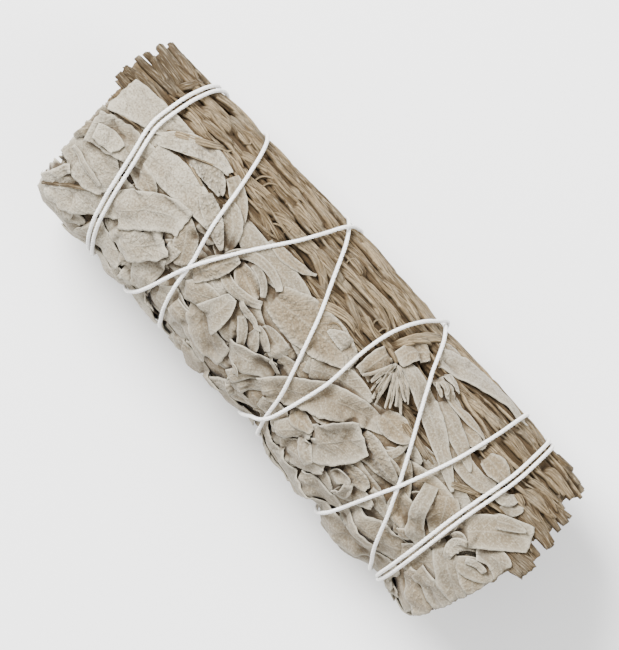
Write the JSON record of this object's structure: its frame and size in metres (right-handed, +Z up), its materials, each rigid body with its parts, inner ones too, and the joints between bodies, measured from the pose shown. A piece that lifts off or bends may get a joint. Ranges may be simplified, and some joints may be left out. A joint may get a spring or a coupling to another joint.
{
  "type": "sage bunch",
  "caption": "Dried white sage tied in a short thick roll: grey-white leaves along one side, bare tan stems along the other, wrapped criss-cross with thin white cotton string.",
  "frame": {"origin": "middle of the bunch's footprint, on the surface it lies on", "axes": "+X along the bunch, towards the picture's lower right end; +Y across it, towards the bare stems; +Z up"},
  "size_m": [0.1082, 0.0406, 0.0363],
  "materials": {
    "sage_leaf": "matte, softly felted dried leaf",
    "sage_stem": "matte, ridged and fibrous dried stem",
    "cotton": "matte twisted cotton"
  },
  "bodies": {
    "root": {"cotton_string": "cotton", "deep_stem_1": "sage_stem", "deep_stem_2": "sage_stem", "deep_stem_3": "sage_stem", "deep_stem_4": "sage_stem", "deep_stem_5": "sage_stem", "inner_stem_1": "sage_stem", "inner_stem_2": "sage_stem", "inner_stem_3": "sage_stem", "inner_stem_4": "sage_stem", "inner_stem_5": "sage_stem", "inner_stem_6": "sage_stem", "inner_stem_7": "sage_stem", "leafy_sprig_1": "sage_leaf", "leafy_sprig_2": "sage_leaf", "leafy_sprig_3": "sage_leaf", "leafy_sprig_4": "sage_leaf", "leafy_sprig_5": "sage_leaf", "leafy_sprig_6": "sage_leaf", "middle_stem_1": "sage_stem", "middle_stem_2": "sage_stem", "middle_stem_3": "sage_stem", "middle_stem_4": "sage_stem", "middle_stem_5": "sage_stem", "middle_stem_6": "sage_stem", "middle_stem_7": "sage_stem", "outer_stem_1": "sage_stem", "outer_stem_2": "sage_stem", "outer_stem_3": "sage_stem", "outer_stem_4": "sage_stem", "outer_stem_5": "sage_stem", "outer_stem_6": "sage_stem", "outer_stem_7": "sage_stem", "outer_stem_8": "sage_stem", "outer_stem_9": "sage_stem", "sprig_stem_1": "sage_stem", "sprig_stem_2": "sage_stem", "sprig_stem_3": "sage_stem", "sprig_stem_4": "sage_stem", "sprig_stem_5": "sage_stem", "sprig_stem_6": "sage_stem"}
  },
  "joints": []
}
